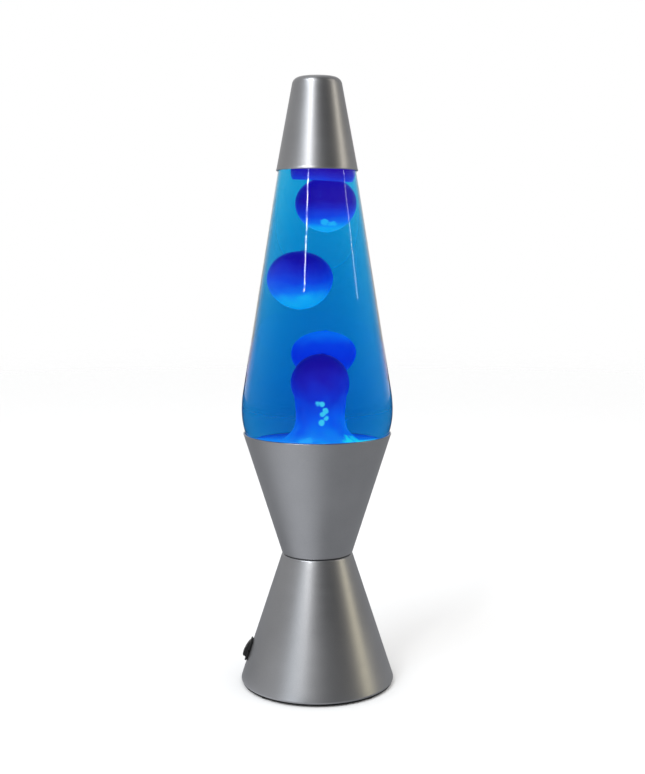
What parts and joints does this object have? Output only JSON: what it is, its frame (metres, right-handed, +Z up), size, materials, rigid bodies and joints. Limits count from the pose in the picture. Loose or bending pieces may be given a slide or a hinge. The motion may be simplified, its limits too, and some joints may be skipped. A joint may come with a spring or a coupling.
{
  "type": "lava lamp",
  "caption": "Rocket-shaped lava lamp: silver hourglass base, tapered glass globe of blue liquid with rising wax, silver cone cap and a rocker switch.",
  "frame": {"origin": "centre of the base, on the surface the lamp stands on", "axes": "+Z up along the lamp's axis; -Y is the side the picture shows, +X is to its right and the switch is at -X"},
  "size_m": [0.0946, 0.0946, 0.368],
  "materials": {
    "silver_lacquer": "satin silver lacquer on spun metal",
    "black_plastic": "moulded, semi-matt",
    "black_rubber": "matt",
    "brass": "bright",
    "nickel": "nickel plate",
    "steel": "zinc plate",
    "ceramic": "glazed",
    "wire_insulation": "smooth PVC",
    "clear_glass": "clear, gloss",
    "bulb_glass": "clear, gloss",
    "blue_liquid": "clear tinted liquid, lit from below",
    "violet_wax": "soft translucent wax, lit from below",
    "tungsten": "drawn wire"
  },
  "bodies": {
    "base": {"lower_cone": "silver_lacquer", "upper_cone": "silver_lacquer", "bottom_plate": "black_plastic", "foot_pad_1": "black_rubber", "foot_pad_2": "black_rubber", "foot_pad_3": "black_rubber", "foot_pad_4": "black_rubber", "lower_clamp_ring": "black_plastic", "upper_clamp_ring": "black_plastic", "lamp_pipe": "nickel", "pipe_nut": "nickel", "pipe_lock_nut": "nickel", "lampholder_base": "black_plastic", "lampholder_core": "ceramic", "lampholder_skirt": "black_plastic", "lampholder_shell": "brass", "lampholder_contact": "brass", "holder_terminal_1": "brass", "holder_terminal_2": "brass", "terminal_screw_1": "steel", "terminal_screw_2": "steel", "switch_housing": "black_plastic", "switch_terminal_1": "nickel", "switch_terminal_2": "nickel", "holder_lead": "wire_insulation", "cord_gland": "black_plastic", "gland_nut": "black_plastic"},
    "rocker": {"switch_rocker": "black_plastic"},
    "bulb_tip": {"bulb_contact": "nickel", "bulb_insulator": "black_plastic"},
    "bulb": {"bulb_glass": "bulb_glass", "bulb_shell": "nickel", "bulb_stem": "bulb_glass", "bulb_support_1": "nickel", "bulb_support_2": "nickel", "bulb_filament": "tungsten"},
    "globe": {"globe_glass": "clear_glass", "globe_liquid": "blue_liquid", "wax_pool": "violet_wax", "wax_top": "violet_wax", "wire_coil": "steel", "crown_cap": "steel", "crown_seal": "black_rubber"},
    "wax_lower": {"wax_blob_lower": "violet_wax"},
    "wax_middle": {"wax_blob_middle": "violet_wax"},
    "wax_upper": {"wax_blob_upper": "violet_wax"},
    "cap": {"cap": "silver_lacquer"}
  },
  "joints": [
    {"name": "rocker_tip", "type": "hinge", "parent": "base", "child": "rocker", "pos_m": [-0.04185, 0, 0.0196], "axis": [0, -1, 0], "range_deg": [0, 22]},
    {"name": "bulb_rise", "type": "slide", "parent": "base", "child": "bulb_tip", "axis": [0, 0, 1], "range_m": [0, 0.0113]},
    {"name": "bulb_unscrew", "type": "hinge", "parent": "bulb_tip", "child": "bulb", "pos_m": [0, 0, 0.07], "axis": [0, 0, 1], "range_deg": [0, 1440]},
    {"name": "globe_lift", "type": "slide", "parent": "base", "child": "globe", "axis": [0, 0, 1], "range_m": [0, 0.1]},
    {"name": "cap_lift", "type": "slide", "parent": "globe", "child": "cap", "axis": [0, 0, 1], "range_m": [0, 0.06]},
    {"name": "wax_lower_drift", "type": "slide", "parent": "globe", "child": "wax_lower", "axis": [0, 0, 1], "range_m": [-0.022, 0.006]},
    {"name": "wax_middle_drift", "type": "slide", "parent": "globe", "child": "wax_middle", "axis": [0, 0, 1], "range_m": [-0.008, 0.003]},
    {"name": "wax_upper_drift", "type": "slide", "parent": "globe", "child": "wax_upper", "axis": [0, 0, 1], "range_m": [-0.008, 0.003]}
  ],
  "couplings": [
    {"joint": "bulb_rise", "follows": "bulb_unscrew", "m_per_rad": 0.00044914}
  ]
}
